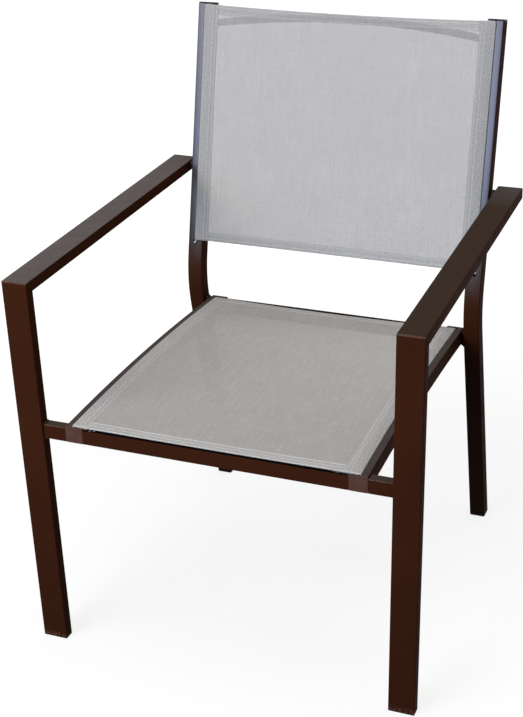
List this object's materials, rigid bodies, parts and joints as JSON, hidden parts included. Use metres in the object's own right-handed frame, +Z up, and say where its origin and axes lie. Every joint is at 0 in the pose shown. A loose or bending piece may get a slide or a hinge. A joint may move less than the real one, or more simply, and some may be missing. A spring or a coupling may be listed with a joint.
{
  "type": "sling patio chair",
  "caption": "Rigid outdoor armchair of brown flat tube, with a stretched grey mesh sling for the seat and one for the back.",
  "frame": {"origin": "on the floor, at the middle of the chair's width and depth", "axes": "+Z up, the sitter faces -Y, +X is the right side as seen from in front of the chair"},
  "size_m": [0.626, 0.6308, 0.8854],
  "materials": {
    "frame_paint": "dark brown satin powder coat on aluminium tube",
    "weld_paint": "weld bead under the same brown powder coat",
    "black_plastic": "matt black moulded plastic",
    "brown_plastic": "matt brown moulded plastic, lighter than the frame",
    "sling_cloth": "light grey coated mesh cloth, open basket weave",
    "rod_plastic": "white extruded plastic rod",
    "plated_steel": "zinc plated"
  },
  "bodies": {
    "root": {"right_armrest": "frame_paint", "left_armrest": "frame_paint", "right_front_leg": "frame_paint", "left_front_leg": "frame_paint", "right_back_post": "frame_paint", "left_back_post": "frame_paint", "right_seat_rail": "frame_paint", "left_seat_rail": "frame_paint", "right_front_stub": "frame_paint", "left_front_stub": "frame_paint", "right_rear_stub": "frame_paint", "left_rear_stub": "frame_paint", "front_crossbar": "frame_paint", "rear_crossbar": "frame_paint", "back_spreader_bar": "frame_paint", "right_arm_corner_weld": "weld_paint", "left_arm_corner_weld": "weld_paint", "right_front_stub_upper_weld": "weld_paint", "left_front_stub_upper_weld": "weld_paint", "right_front_stub_lower_weld": "weld_paint", "left_front_stub_lower_weld": "weld_paint", "right_rear_stub_upper_weld": "weld_paint", "left_rear_stub_upper_weld": "weld_paint", "right_rear_stub_lower_weld": "weld_paint", "left_rear_stub_lower_weld": "weld_paint", "right_spreader_weld": "weld_paint", "left_spreader_weld": "weld_paint", "right_arm_end_cap": "black_plastic", "left_arm_end_cap": "black_plastic", "right_post_cap": "black_plastic", "left_post_cap": "black_plastic", "right_front_foot_glide": "black_plastic", "left_front_foot_glide": "black_plastic", "right_rear_foot_glide": "black_plastic", "left_rear_foot_glide": "black_plastic", "right_arm_spacer": "black_plastic", "left_arm_spacer": "black_plastic", "right_rail_rear_cap": "brown_plastic", "left_rail_rear_cap": "brown_plastic", "right_rail_front_cap": "brown_plastic", "left_rail_front_cap": "brown_plastic", "back_sling": "sling_cloth", "seat_sling": "sling_cloth", "right_back_keder_rod": "rod_plastic", "left_back_keder_rod": "rod_plastic", "right_seat_keder_rod": "rod_plastic", "left_seat_keder_rod": "rod_plastic", "right_arm_bolt": "plated_steel", "left_arm_bolt": "plated_steel", "right_arm_rivet_nut": "plated_steel", "left_arm_rivet_nut": "plated_steel"}
  },
  "joints": []
}
